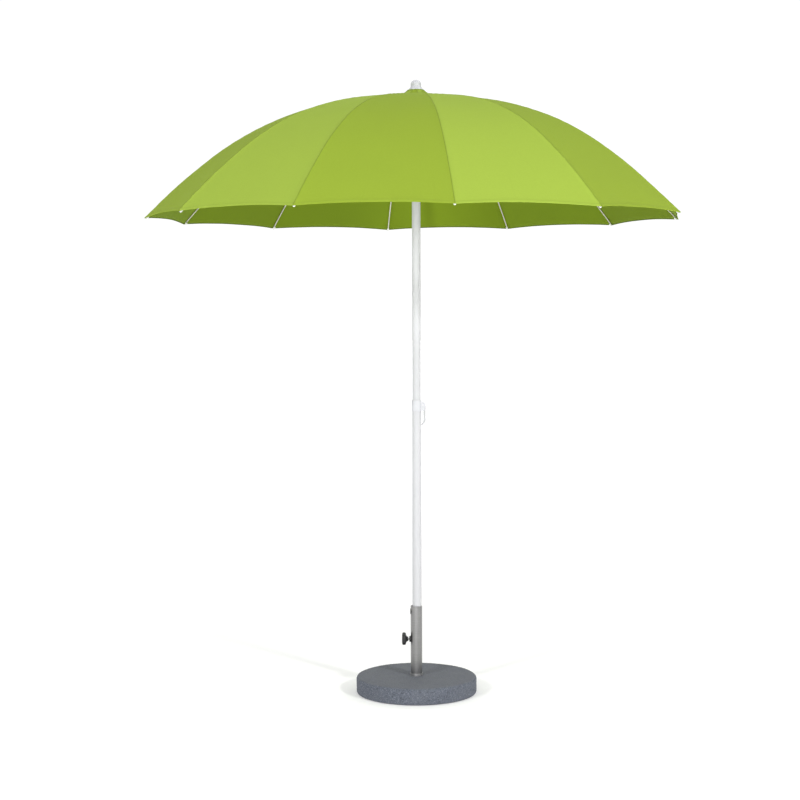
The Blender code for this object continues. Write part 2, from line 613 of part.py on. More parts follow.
def rib_mesh():
    """A bent rod from the crown to the rim, with a flat eye at the crown and a clip lug for the strut."""
    sides = 6
    bm = bmesh.new()
    rows = []
    for x in [HINGE_RADIUS + 0.006] + RIB_LINE:
        centre = below_cloth(x, RIB_BELOW_CLOTH) - HINGE
        up = (below_cloth(x, 0.0) - below_cloth(x, 1.0))
        row = []
        for side in range(sides):
            lean = 2.0 * math.pi * side / sides
            point = centre + up * (RIB_RADIUS * math.sin(lean))
            row.append(bm.verts.new((point.x, RIB_RADIUS * math.cos(lean), point.y)))
        rows.append(row)
    for first, second in zip(rows, rows[1:]):
        for side in range(sides):
            after = (side + 1) % sides
            bm.faces.new((first[side], first[after], second[after], second[side]))
    bm.faces.new(rows[0])
    bm.faces.new(rows[-1])
    rib = add("rib_01", to_mesh(bm, "rib"), FIBREGLASS)
    tongue = arc(0.0, 0.0, TONGUE_RADIUS, 45.0, 315.0, 6)
    tongue += [(TONGUE_TAPER, -0.0029), (TONGUE_LENGTH, -0.0022), (TONGUE_LENGTH, 0.0020),
               (TONGUE_TAPER, 0.0026)]
    join(rib, plate("tongue", tongue, -0.5 * TONGUE_WIDTH, 0.5 * TONGUE_WIDTH))
    clip = CLIP - HINGE
    lug = arc(clip.x, clip.y, TONGUE_RADIUS, -165.0, -15.0, 4)
    lug += [(clip.x + LUG_REACH, clip.y + 0.0030), (clip.x - LUG_BACK, clip.y + 0.0085)]
    join(rib, plate("lug", lug, -0.5 * TONGUE_WIDTH, 0.5 * TONGUE_WIDTH))
    for centre in (Vector((0.0, 0.0)), clip):
        across = Matrix.Translation((centre.x, 0.0, centre.y)) @ AROUND_Y
        cut(rib, rod("eye_hole", EYE_HOLE_RADIUS, -0.01, 0.01, 8, across))
    return rib


def strut_mesh():
    """A flat bar from the rib's clip to the runner, with a pinned fork at the clip and an eye at its end."""
    span = RUNNER_HINGE - CLIP
    length = span.length
    lie = Matrix.Rotation(math.atan2(-span.y, span.x), 4, "Y")
    half = STRUT_HALF_HEIGHT
    start, end_x = 0.0085, length - 0.0030
    bar = [(start, -half), (end_x, -half), (end_x, half), (start, half)]
    strut = add("strut_01", plate("strut", bar, -0.5 * TONGUE_WIDTH, 0.5 * TONGUE_WIDTH, lie), STRUT_PAINT)
    inside = 0.5 * TONGUE_WIDTH + SIDE_GAP
    tall = half + OVERLAP
    for side, name in ((-1.0, "fork_near"), (1.0, "fork_far")):
        cheek = arc(0.0, 0.0, FORK_RADIUS, 60.0, 300.0, 4) + [(FORK_LENGTH, -tall), (FORK_LENGTH, tall)]
        near, far = sorted((side * inside, side * (inside + FORK_THICKNESS)))
        join(strut, plate(name, cheek, near, far, lie))
    near, far = FORK_BRIDGE
    bridge = [(near, -tall), (far, -tall), (far, tall), (near, tall)]
    into_cheek = inside + 0.5 * FORK_THICKNESS
    join(strut, plate("fork_bridge", bridge, -into_cheek, into_cheek, lie))
    pin_end = into_cheek + OVERLAP
    join(strut, rod("clip_pin", PIN_RADIUS, -pin_end, pin_end, 6, AROUND_Y))
    end = Matrix.Translation((span.x, 0.0, span.y))
    eye_half = 0.5 * TONGUE_WIDTH + 0.5 * OVERLAP
    eye = arc(0.0, 0.0, STRUT_EYE_RADIUS, 0.0, 315.0, 7)
    join(strut, plate("strut_eye", eye, -eye_half, eye_half, end))
    cut(strut, rod("end_hole", EYE_HOLE_RADIUS, -0.01, 0.01, 8, end @ AROUND_Y))
    return strut


def cloth_mesh():
    """The cloth over one rib, half a gore to each side, from under the finial to the rim."""
    half_gore = math.pi / RIB_COUNT
    outer = [Vector((CROWN_HOLE_RADIUS, CROWN_TOP)), Vector((CROWN_FLAT_RADIUS, CROWN_TOP))]
    inner = [point - Vector((0.0, CLOTH)) for point in outer]
    inner[1].x -= 0.5 * CLOTH
    for x in RIB_LINE:
        outer.append(Vector((x, cloth_height(x))))
        inner.append(below_cloth(x, CLOTH))
    scallop = [0.0] * (len(outer) - 1) + [SCALLOP]
    bm = bmesh.new()
    rows = []
    for above, under, short in zip(outer, inner, scallop):
        rise = cloth_height(CANOPY_RADIUS - short) - cloth_height(CANOPY_RADIUS)
        section = []
        for point in (above, under):
            line = []
            for side in (-1.0, 0.0, 1.0):
                reach = point.x - (short if side else 0.0)
                across = max(0.0, reach * math.cos(half_gore) * math.sin(half_gore) - 0.5 * GAP)
                back = across * math.tan(half_gore) if side else 0.0
                height = point.y + (rise if side else 0.0)
                line.append(bm.verts.new((reach - back - HINGE.x, side * across, height - HINGE.y)))
            section.append(line)
        rows.append(section[0] + section[1][::-1])
    count = len(rows[0])
    for first, second in zip(rows, rows[1:]):
        for step in range(count):
            after = (step + 1) % count
            bm.faces.new((first[step], first[after], second[after], second[step]))
    for row in (rows[0], rows[-1]):
        bm.faces.new((row[0], row[1], row[4], row[5]))
        bm.faces.new((row[1], row[2], row[3], row[4]))
    return to_mesh(bm, "canopy_sector")


def build_canopy():
    rib = rib_mesh()
    strut = strut_mesh()
    rib_shape = settle(rib)
    strut_shape = settle(strut)
    cloth_shape = cloth_mesh()
    for number, angle in enumerate(RIB_ANGLES, start=1):
        at_hinge = at_angle(HINGE, angle)
        if number == 1:
            rib.location = at_hinge
            rib.rotation_euler.z = angle
            strut.location = at_angle(CLIP, angle)
            strut.rotation_euler.z = angle
        else:
            add(f"rib_{number:02d}", rib_shape, FIBREGLASS, at_hinge, angle)
            add(f"strut_{number:02d}", strut_shape, STRUT_PAINT, at_angle(CLIP, angle), angle)
        add(f"canopy_sector_{number:02d}", cloth_shape, CLOTH_GREEN, at_hinge, angle)


build_stand()
build_clamp_screw()
build_pole()
build_height_clamp()
build_crown()
build_finial()
build_runner()
build_catch()
build_canopy()
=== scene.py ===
"""The looks of the patio umbrella: cloth, ribs, slab and finishes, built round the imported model.

Metres, +Z up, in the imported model's frame: the pole's axis is Z and the floor is z = 0.
"""

import json
import math

import bmesh
import bpy
from mathutils import Matrix, Vector, noise


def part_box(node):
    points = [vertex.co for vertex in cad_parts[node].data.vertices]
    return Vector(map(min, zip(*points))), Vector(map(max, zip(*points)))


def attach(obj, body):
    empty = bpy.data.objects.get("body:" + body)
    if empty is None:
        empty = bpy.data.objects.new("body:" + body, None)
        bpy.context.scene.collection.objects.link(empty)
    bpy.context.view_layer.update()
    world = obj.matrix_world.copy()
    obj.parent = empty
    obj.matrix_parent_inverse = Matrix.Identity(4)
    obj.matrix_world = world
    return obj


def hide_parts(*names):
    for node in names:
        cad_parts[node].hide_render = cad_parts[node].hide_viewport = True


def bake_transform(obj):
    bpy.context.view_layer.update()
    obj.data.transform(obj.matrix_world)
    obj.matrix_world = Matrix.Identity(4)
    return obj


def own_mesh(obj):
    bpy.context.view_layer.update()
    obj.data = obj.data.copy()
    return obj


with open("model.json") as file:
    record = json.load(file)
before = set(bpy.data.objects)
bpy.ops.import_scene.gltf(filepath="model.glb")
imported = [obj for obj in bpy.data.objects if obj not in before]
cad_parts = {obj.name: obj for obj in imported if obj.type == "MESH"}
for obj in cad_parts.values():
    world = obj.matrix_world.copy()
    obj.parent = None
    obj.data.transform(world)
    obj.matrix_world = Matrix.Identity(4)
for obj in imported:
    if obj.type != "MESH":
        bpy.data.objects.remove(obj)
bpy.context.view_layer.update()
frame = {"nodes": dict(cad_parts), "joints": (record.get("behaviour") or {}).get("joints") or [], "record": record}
scene = bpy.context.scene
JOINTS = {joint["name"]: joint for joint in frame["joints"]}

# Camera
CAMERA_DISTANCE = 6.903
CAMERA_HEIGHT = 1.6368
CAMERA_PITCH = math.radians(-3.44)
CAMERA_YAW = math.radians(0.56)
CAMERA_ROLL = math.radians(0.16)
CAMERA_LENS = 75.2
CAMERA_SENSOR = 36.0

# Cloth profile over a rib, as the model's
RIB_COUNT = 12
CANOPY_RADIUS = 1.100
RIM_HEIGHT = 1.975
CROWN_SLOPE = 0.0195
RIM_SLOPE = 1.0892
BEND_RADIUS = 0.6791
BEND_LENGTH = 0.2105
CROWN_TOP = 2.4934
CROWN_EDGE = 0.034
CROWN_FLARE_END = 0.067
CROWN_LIFT = 0.0046
CROWN_LIFT_RADIUS = 0.20
CROWN_CLOTH_TOP = CROWN_TOP - 0.0010
SCALLOP = 0.010
CLOTH_EDGE = 1.1070
SAG = 0.002
HALF_GORE = math.pi / RIB_COUNT

# Cloth details
CLOTH_THICKNESS = 0.0007
CROWN_STRIP_END = 0.078
BAND_EDGES = (CROWN_STRIP_END, 0.30, 0.52, 0.70, 0.85, 0.98, CLOTH_EDGE)
ROW_SPACING = 0.012
SEAM_HALF = 0.0050
SEAM_RISE = 0.0004
SEAM_DITCH = 0.0006
SEAM_EDGE = 0.0012
HEM_WIDTH = 0.0140
HEM_RISE = 0.0005
HEM_EDGE = 0.0010
HEM_ROLL = 0.0012
COLUMNS_ACROSS = 10
SLOPE_STEP = 0.001
RUMPLES = ((0.0022, 5.0), (0.0004, 24.0))
PUCKER_HEIGHT = 0.0007
PUCKER_REACH = 0.020
PUCKER_PITCH = 0.043

# Stitches and weave
SEAM_STITCH = 0.0040
HEM_STITCH = HEM_WIDTH - 0.0025
STITCH_HALF = 0.0005
STITCH_PITCH = 0.0040
STITCH_SHARE = 0.72
WEAVE_PITCH = 0.0011
CLOTH_GLOW = 0.28

# Ribs
RIB_RADIUS = 0.0025
RIB_BELOW_CLOTH = 0.0044
RIB_STATIONS = 72
RIB_SIDES = 10
CLIP_STATION = 0.579
EYE_HOLE_RADIUS = 0.0020
EYE_RADIUS = 0.0042
PLATE_HALF = 0.0020
ROD_START = 0.006
ROD_END = CANOPY_RADIUS - 0.002
SLEEVE_RADIUS = 0.0036
COLLAR_RADIUS = 0.0033
TIP_CAP_RADIUS = 0.0045
TIP_CAP_LENGTH = 0.0125
TIP_CAP_BELOW = 0.0034

# Crown cap and finial
CAP_BORE = 0.0095
FINIAL_RISE = 0.0403
FINIAL_STEM = 0.0040
FINIAL_BODY = 0.0218
FINIAL_DOME_BASE = 0.0203
CHAMFER = 0.0006

# Slab
SLAB_SKIN = 0.0006
SLAB_TOP_ROUND = 0.0120
SLAB_LOW_ROUND = 0.0060
SLAB_BORE = 0.0065
SLAB_RECESS = 0.018
SLAB_RECESS_DEPTH = 0.022
SLAB_FLAT_RINGS = 34
SLAB_SIDE_ROWS = 12

# Stage
FLOOR_SIZE = 60.0
FLOOR_FADE = (1.5, 12.0, 0.18, 0.66)
SKY_SHARES = ((0, (-0.95, -0.20, 0.72, 1.0)), (1, (0.25, 0.70, 0.64, 1.0)), (2, (0.22, 0.75, 1.05, 1.28)))
LAMP_AIM = Vector((0.0, 0.0, 1.2))
SPOT_AIM = Vector((0.0, 0.0, 1.79))
SPOT_PLACE = (-0.3, -5.2, 0.5)
SPOT_ANGLE = math.radians(5.2)
SPOT_POWER = 1050.0


def make_camera():
    """The photograph's view, level with the upper pole and turned a little."""
    camera = bpy.data.objects.new("camera", bpy.data.cameras.new("camera"))
    scene.collection.objects.link(camera)
    camera.location = (0.0, -CAMERA_DISTANCE, CAMERA_HEIGHT)
    camera.rotation_euler = (math.radians(90.0) + CAMERA_PITCH, CAMERA_ROLL, CAMERA_YAW)
    camera.data.sensor_width = CAMERA_SENSOR
    camera.data.lens = CAMERA_LENS
    scene.camera = camera


make_camera()


# Node materials


class Look:
    """A node material, with a short call for each node that it needs."""

    def __init__(self, name, **values):
        self.material = bpy.data.materials.new(name)
        self.material.use_nodes = True
        self.tree = self.material.node_tree
        self.shader = self.tree.nodes["Principled BSDF"]
        for socket, value in values.items():
            self.set(socket.replace("_", " ").title(), value)

    def set(self, socket, value):
        if isinstance(value, bpy.types.NodeSocket):
            self.tree.links.new(value, self.shader.inputs[socket])
        else:
            if isinstance(value, tuple) and len(value) == 3:
                value = (*value, 1.0)
            self.shader.inputs[socket].default_value = value

    def node(self, kind, settings=(), inputs=()):
        made = self.tree.nodes.new(kind)
        for name, value in settings:
            setattr(made, name, value)
        for key, value in inputs:
            if isinstance(value, bpy.types.NodeSocket):
                self.tree.links.new(value, made.inputs[key])
            else:
                if isinstance(value, tuple) and len(value) == 3 and made.inputs[key].type == "RGBA":
                    value = (*value, 1.0)
                made.inputs[key].default_value = value
        return made

    def scaled(self, vector, scale):
        return self.node("ShaderNodeMapping", inputs=(("Vector", vector), ("Scale", scale))).outputs[0]

    def place(self, scale=(1.0, 1.0, 1.0)):
        """Where a point lies at rest, in metres, scaled along each axis."""
        return self.scaled(self.node("ShaderNodeTexCoord").outputs["Object"], scale)

    def uv(self):
        """A point's place on the cloth, or along a rod, in metres."""
        return self.node("ShaderNodeUVMap", (("uv_map", "cloth"),)).outputs[0]

    def split(self, vector):
        return self.node("ShaderNodeSeparateXYZ", inputs=((0, vector),)).outputs

    def noise(self, scale, detail=2.0, vector=None, roughness=0.5):
        inputs = (("Vector", vector or self.place()), ("Scale", scale), ("Detail", detail),
                  ("Roughness", roughness))
        return self.node("ShaderNodeTexNoise", inputs=inputs).outputs[0]

    def cells(self, scale):
        """Distance to the nearest of scattered points, and a colour for each point."""
        made = self.node("ShaderNodeTexVoronoi", inputs=(("Vector", self.place()), ("Scale", scale)))
        return made.outputs["Distance"], made.outputs["Color"]

    def math(self, operation, first, second=0.0):
        settings = (("operation", operation),)
        return self.node("ShaderNodeMath", settings, ((0, first), (1, second))).outputs[0]

    def fade(self, value, low, high, start=0.0, end=1.0):
        settings = (("interpolation_type", "SMOOTHSTEP"),)
        inputs = ((0, value), (1, low), (2, high), (3, start), (4, end))
        return self.node("ShaderNodeMapRange", settings, inputs).outputs[0]

    def mix(self, factor, first, second, blend="MIX"):
        settings = (("data_type", "RGBA"), ("blend_type", blend))
        return self.node("ShaderNodeMix", settings, ((0, factor), (6, first), (7, second))).outputs[2]

    def bump(self, height, strength, distance, below=None):
        inputs = [("Height", height), ("Strength", strength), ("Distance", distance)]
        if below is not None:
            inputs.append(("Normal", below))
        return self.node("ShaderNodeBump", inputs=inputs).outputs[0]


def shade(colour, share):
    """A lighter or darker tone of a colour."""
    return tuple(share * c for c in colour)


def cloth_look(name, colour, thread):
    """Woven polyester: a fine weave, lockstitched seams and hem, painted shade along the seam's ditch, the hem's
    edge and crease lines, and a little light through it.
    """
    look = Look(name, roughness=0.86)
    look.set("Sheen Weight", 0.10)
    look.set("Sheen Roughness", 0.5)
    look.set("Sheen Tint", (0.70, 0.95, 0.15))
    look.set("Specular IOR Level", 0.18)
    across, along, _ = look.split(look.uv())
    from_seam = look.math("ABSOLUTE", across)

    def apart(distance, line):
        return look.math("ABSOLUTE", look.math("SUBTRACT", distance, line))

    def dashes(distance, line, run):
        on_line = look.math("LESS_THAN", apart(distance, line), STITCH_HALF)
        beat = look.math("FRACT", look.math("DIVIDE", run, STITCH_PITCH))
        return look.math("MULTIPLY", on_line, look.math("LESS_THAN", beat, STITCH_SHARE))

    def stripes(distance):
        return look.math("SINE", look.math("MULTIPLY", distance, 2.0 * math.pi / WEAVE_PITCH))

    stitch = look.math("MAXIMUM", dashes(from_seam, SEAM_STITCH, along), dashes(along, HEM_STITCH, across))
    # Painted shade: this mask darkens the cloth along the seam's groove by the rib, and also gives the groove its
    # bump.
    ditch = look.fade(from_seam, 0.0004, 0.0026, 1.0, 0.0)
    # Painted shade: a darker line along the edge of the folded hem, where its thickness casts shade.
    hem_edge_shade = look.fade(apart(along, HEM_WIDTH), 0.0002, 0.0012, 1.0, 0.0)
    mottle = look.noise(900.0, 2.0, roughness=0.6)
    slub = look.noise(150.0, 3.0, roughness=0.7)
    # Painted shade: long thin darker streaks along the cloth, for the shade of creases.
    crease_shade = look.noise(1.0, 3.0, look.scaled(look.uv(), (38.0, 2.2, 1.0)), 0.6)
    soft = look.noise(3.5, 2.0)
    tone = look.mix(look.fade(mottle, 0.30, 0.70), shade(colour, 0.975), shade(colour, 1.02))
    tone = look.mix(look.fade(soft, 0.35, 0.65, 0.0, 0.25), tone, shade(colour, 0.96))
    tone = look.mix(look.fade(slub, 0.30, 0.70, 0.0, 0.55), tone, shade(colour, 0.93))
    # Painted shade from here on: darker crease streaks, a darker seam ditch and a darker hem edge.
    tone = look.mix(look.fade(crease_shade, 0.60, 0.72, 0.0, 0.35), tone, shade(colour, 0.90))
    tone = look.mix(look.math("MULTIPLY", ditch, 0.52), tone, shade(colour, 0.30))
    tone = look.mix(look.math("MULTIPLY", hem_edge_shade, 0.25), tone, shade(colour, 0.45))
    tone = look.mix(stitch, tone, thread)
    look.set("Base Color", tone)
    weave = look.math("MULTIPLY", stripes(across), stripes(along))
    rows = look.math("ADD", look.math("MULTIPLY", weave, 0.5), look.math("MULTIPLY", mottle, 0.8))
    woven = look.bump(look.math("ADD", rows, look.math("MULTIPLY", slub, 1.5)), 0.35, 0.00035)
    sewn = look.math("SUBTRACT", stitch, look.math("MULTIPLY", ditch, 2.0))
    look.set("Normal", look.bump(sewn, 0.5, 0.0004, woven))
    glow = look.node("ShaderNodeBsdfTranslucent", inputs=(("Color", tone),))
    both = look.node("ShaderNodeMixShader", inputs=(
        (0, CLOTH_GLOW), (1, look.shader.outputs[0]), (2, glow.outputs[0])))
    look.tree.links.new(both.outputs[0], look.tree.nodes["Material Output"].inputs[0])
    return look.material


def concrete_look():
    """Cast stone: grey speckle all over, smooth on top and rough with pits on its side, with painted shade in the
    pits and over the whole side.
    """
    look = Look("cast_stone", roughness=0.9)
    facing = look.split(look.node("ShaderNodeNewGeometry").outputs["Normal"])
    flat = look.fade(facing[2], 0.60, 0.97)
    grain = look.noise(420.0, 4.0, roughness=0.7)
    patches = look.noise(14.0, 3.0)
    speck = look.split(look.cells(330.0)[1])[0]
    light = look.math("GREATER_THAN", speck, 0.86)
    light = look.math("MULTIPLY", light, look.fade(flat, 0.0, 1.0, 0.50, 0.20))
    dark = look.math("LESS_THAN", speck, 0.16)
    dark = look.math("MULTIPLY", dark, look.fade(flat, 0.0, 1.0, 0.70, 0.20))
    # Painted shade: the pits are coloured much darker, for the shade inside them; they are bumped in as well.
    pit_distance, pit_colour = look.cells(95.0)
    pit = look.math("GREATER_THAN", look.split(pit_colour)[1], 0.80)
    pit = look.math("MULTIPLY", pit, look.fade(pit_distance, 0.10, 0.34, 1.0, 0.0))
    pit = look.math("MULTIPLY", pit, look.fade(flat, 0.0, 0.6, 1.0, 0.10))
    tone = look.mix(look.fade(grain, 0.35, 0.65), (0.084, 0.091, 0.108), (0.146, 0.156, 0.182))
    tone = look.mix(light, tone, (0.25, 0.265, 0.295))
    tone = look.mix(dark, tone, (0.050, 0.054, 0.063))
    tone = look.mix(look.math("MULTIPLY", pit, 0.75), tone, (0.030, 0.033, 0.040))
    tone = look.mix(look.fade(patches, 0.40, 0.70, 0.0, 0.30), tone, (0.150, 0.158, 0.172))
    # Painted shade: the slab's side is made darker and bluer than its top.
    side = look.fade(flat, 0.2, 1.0, 1.0, 0.0)
    look.set("Base Color", look.mix(side, tone, (0.85, 0.88, 0.94), "MULTIPLY"))
    look.set("Roughness", look.fade(grain, 0.2, 0.8, 0.82, 0.98))
    height = look.math("SUBTRACT", look.math("MULTIPLY", grain, look.fade(flat, 0.0, 1.0, 1.0, 0.25)),
                       look.math("MULTIPLY", pit, 1.6))
    look.set("Normal", look.bump(height, 0.65, 0.0011))
    return look.material


def steel_look(name, colour, roughness, rings):
    """Metal with fine brush lines; rings is True where they run round the pole's axis."""
    look = Look(name, roughness=roughness, metallic=1.0)
    stretch = (18.0, 18.0, 2600.0) if rings else (900.0, 900.0, 30.0)
    lines = look.noise(1.0, 3.0, look.place(stretch), 0.7)
    smudge = look.noise(24.0, 3.0)
    tone = look.mix(look.fade(lines, 0.25, 0.75), shade(colour, 0.80), shade(colour, 1.12))
    tone = look.mix(look.fade(smudge, 0.45, 0.75, 0.0, 0.25), tone, shade(colour, 0.75))
    look.set("Base Color", tone)
    look.set("Roughness", look.math("ADD", look.math("MULTIPLY", lines, 0.14), roughness - 0.05))
    look.set("Normal", look.bump(lines, 0.25, 0.0002))
    return look.material


def plastic_look(name, colour, roughness, grain_scale, grain_strength, wear):
    """Moulded plastic: a fine spark grain, slight unevenness and a little rubbing on its edges."""
    look = Look(name, roughness=roughness)
    grain = look.noise(grain_scale, 3.0, roughness=0.6)
    cloudy = look.noise(22.0, 2.0)
    tone = look.mix(look.fade(cloudy, 0.35, 0.70), shade(colour, 0.96), shade(colour, 1.03))
    edge = look.fade(look.node("ShaderNodeNewGeometry").outputs["Pointiness"], 0.52, 0.60, 0.0, 0.35)
    tone = look.mix(edge, tone, wear)
    look.set("Base Color", tone)
    look.set("Roughness", look.fade(grain, 0.25, 0.75, roughness - 0.06, roughness + 0.08))
    look.set("Normal", look.bump(grain, grain_strength, 0.0003))
    return look.material


def paint_look(name, colour, roughness):
    """Powder-coated tube: a faint orange peel, scuffs drawn along the tube and a thin clear gloss."""
    look = Look(name, roughness=roughness)
    look.set("Coat Weight", 0.06)
    look.set("Specular IOR Level", 0.28)
    look.set("Coat Roughness", 0.12)
    peel = look.noise(260.0, 2.0)
    scuff = look.noise(1.0, 4.0, look.place((420.0, 420.0, 9.0)), 0.6)
    dust = look.noise(7.0, 3.0)
    tone = look.mix(look.fade(dust, 0.40, 0.75, 0.0, 0.6), colour, shade(colour, 0.955))
    tone = look.mix(look.fade(scuff, 0.70, 0.80, 0.0, 0.5), tone, shade(colour, 0.88))
    look.set("Base Color", tone)
    look.set("Roughness", look.fade(scuff, 0.35, 0.80, roughness - 0.03, roughness + 0.14))
    look.set("Normal", look.bump(peel, 0.12, 0.0004))
    return look.material


def rod_look():
    """Pultruded fibreglass rod: cream resin with fibres along the rod."""
    look = Look("fibreglass_rod", roughness=0.42)
    fibres = look.noise(1.0, 3.0, look.scaled(look.uv(), (1800.0, 12.0, 1.0)), 0.6)
    tone = look.mix(look.fade(fibres, 0.30, 0.70), (0.50, 0.48, 0.39), (0.64, 0.62, 0.55))
    look.set("Base Color", tone)
    look.set("Roughness", look.fade(fibres, 0.2, 0.8, 0.36, 0.52))
    look.set("Normal", look.bump(fibres, 0.3, 0.0002))
    return look.material


def rubber_look():
    """Dull black rubber with a fine grain."""
    look = Look("rubber_pad", roughness=0.75)
    grain = look.noise(700.0, 2.0)
    tone = look.mix(look.fade(grain, 0.3, 0.7), (0.020, 0.020, 0.021), (0.045, 0.045, 0.046))
    look.set("Base Color", tone)
    look.set("Normal", look.bump(grain, 0.4, 0.0004))
    return look.material


THREAD = (0.300, 0.430, 0.040)
# Painted sheen: alternate gores get a darker copy and a lighter, bluer copy of the same cloth, for the sheen of
# the nap lying either way.
CLOTH = [cloth_look("canopy_cloth_dim_sheen", (0.318, 0.433, 0.038), THREAD),
         cloth_look("canopy_cloth_bright_sheen", (0.380, 0.516, 0.065), THREAD),
         # Painted shade: the underside cloths are much darker, more saturated copies of the top cloth, for the
         # shade under the canopy.
         cloth_look("canopy_under_shade_dim_sheen", (0.180, 0.262, 0.009), THREAD),
         cloth_look("canopy_under_shade_bright_sheen", (0.190, 0.278, 0.011), THREAD)]
CROWN_CLOTH = cloth_look("crown_cloth", (0.255, 0.360, 0.030), (0.20, 0.30, 0.03))
CONCRETE = concrete_look()
STEEL = steel_look("brushed_steel", (0.290, 0.288, 0.287), 0.31, True)
ZINC = steel_look("zinc_plate", (0.56, 0.557, 0.55), 0.34, True)
SPRING_STEEL = steel_look("spring_steel", (0.45, 0.45, 0.46), 0.30, False)
BLACK = plastic_look("black_plastic", (0.012, 0.0125, 0.013), 0.48, 900.0, 0.35, (0.05, 0.05, 0.052))
WHITE = plastic_look("white_plastic", (0.545, 0.550, 0.580), 0.48, 700.0, 0.05, (0.60, 0.603, 0.625))
# Painted shade: a darker copy of the same white plastic for the cam lever, which faces the key lamp.
LEVER_SHADED_WHITE = plastic_look("lever_plastic_painted_shade", (0.43, 0.434, 0.446), 0.50, 700.0, 0.12, (0.46, 0.464, 0.476))
# Painted light: a brighter copy of the white plastic for the rib tip caps, which hang in the canopy's shade.
TIP_LIT_WHITE = plastic_look("tip_plastic_painted_light", (0.80, 0.80, 0.78), 0.42, 700.0, 0.12, (0.82, 0.82, 0.80))
NYLON = plastic_look("nylon", (0.78, 0.77, 0.72), 0.45, 800.0, 0.15, (0.82, 0.81, 0.77))
PAINT = paint_look("white_paint", (0.530, 0.533, 0.550), 0.36)
STRUT_PAINT = paint_look("strut_paint", (0.74, 0.745, 0.75), 0.36)
ROD = rod_look()
RUBBER = rubber_look()


# Canopy geometry, in one rib's upright plane: s outwards from the pole, z up


def smooth(value):
    value = max(0.0, min(1.0, value))
    return value * value * (3.0 - 2.0 * value)


def slope_share(s):
    """A softened ramp that starts near the bend, so the cloth steepens towards its rim."""
    return BEND_LENGTH * math.log(1.0 + math.exp((s - BEND_RADIUS) / BEND_LENGTH))


def cloth_height(s):
    """The height of the cloth's middle surface over a rib."""
    level = CROWN_SLOPE * (CANOPY_RADIUS - s)
    fall = RIM_SLOPE * (slope_share(CANOPY_RADIUS) - slope_share(s))
    return RIM_HEIGHT + level + fall


def crown_height(s):
    """The cloth's height, with the flare up to the finial near the crown."""
    rise = max(0.0, (CROWN_FLARE_END - s) / (CROWN_FLARE_END - CROWN_EDGE))
    lift = CROWN_LIFT * max(0.0, 1.0 - s / CROWN_LIFT_RADIUS) ** 1.3
    edge_lift = CROWN_LIFT * (1.0 - CROWN_EDGE / CROWN_LIFT_RADIUS) ** 1.3
    flare = CROWN_CLOTH_TOP - cloth_height(CROWN_EDGE) - edge_lift
    return cloth_height(s) + lift + flare * rise * rise


def below_cloth(s, depth):
    """The point at this depth square below the cloth, as s and z."""
    rise = cloth_height(s + SLOPE_STEP) - cloth_height(s - SLOPE_STEP)
    tangent = Vector((2.0 * SLOPE_STEP, rise)).normalized()
    return Vector((s + tangent.y * depth, cloth_height(s) - tangent.x * depth))


def half_width(s):
    """Half the width of a flat-faceted sector where its rib is s from the pole's axis."""
    return s * math.cos(HALF_GORE) * math.sin(HALF_GORE)


def arc_table():
    """Length of cloth from the rim in to each millimetre of s."""
    lengths = [0.0]
    for step in range(int(CLOTH_EDGE * 1000.0)):
        s = CLOTH_EDGE - 0.001 * step
        lengths.append(lengths[-1] + math.hypot(0.001, crown_height(s - 0.001) - crown_height(s)))
    return lengths


ARC = arc_table()


def cloth_length(s):
    """Length of cloth from the rim in to s."""
    place = (CLOTH_EDGE - s) * 1000.0
    low = min(int(place), len(ARC) - 2)
    return ARC[low] + (ARC[low + 1] - ARC[low]) * (place - low)


def seam_profile(distance):
    """Rise of the cloth over the felled seam, with a narrow ditch on the rib's line."""
    if distance < SEAM_DITCH:
        return 0.1 * SEAM_RISE
    return SEAM_RISE * (1.0 - smooth((distance - SEAM_HALF) / SEAM_EDGE))


def unevenness(spot, side_angle, s, across):
    """How far loose cloth stands off its smooth shape: broad rumples, and puckers by the seam."""
    turned = Matrix.Rotation(side_angle, 3, "Z") @ spot
    rumple = sum(height * noise.noise(turned * scale) for height, scale in RUMPLES)
    strength = 0.4 + noise.noise(Vector((s * 9.0, side_angle * 5.0, 0.0)))
    nearness = math.exp(-abs(across) / PUCKER_REACH) * strength
    return rumple + PUCKER_HEIGHT * nearness * math.sin(2.0 * math.pi * s / PUCKER_PITCH)


def cloth_point(s, across, side_angle, from_edge):
    """A point of the cloth over a rib, in that rib's frame. across is metres from the seam."""
    share = min(1.0, abs(across) / half_width(s))
    belly = math.sin(math.pi * min(1.0, s / CANOPY_RADIUS)) ** 0.5
    pull = SAG * (1.0 - (1.0 - share) ** 2) * belly * smooth(s / 0.3)
    spot = Vector((s - abs(across) * math.tan(HALF_GORE), across, crown_height(s)))
    rise = crown_height(s + SLOPE_STEP) - crown_height(s - SLOPE_STEP)
    slope = rise / (2.0 * SLOPE_STEP) / math.cos(HALF_GORE)
    panel_turn = math.copysign(HALF_GORE * smooth(abs(across) / SEAM_HALF), across)
    normal = Vector((-slope * math.cos(panel_turn), -slope * math.sin(panel_turn), 1.0)).normalized()
    loose = unevenness(spot, side_angle, s, across) * smooth((s - 0.04) / 0.1)
    lift = seam_profile(abs(across)) - pull + loose
    if from_edge < HEM_WIDTH:
        lift += HEM_RISE * smooth((HEM_WIDTH - from_edge) / HEM_EDGE)
    if from_edge < HEM_ROLL:
        lift -= HEM_ROLL * (1.0 - from_edge / HEM_ROLL)
    return spot + normal * lift


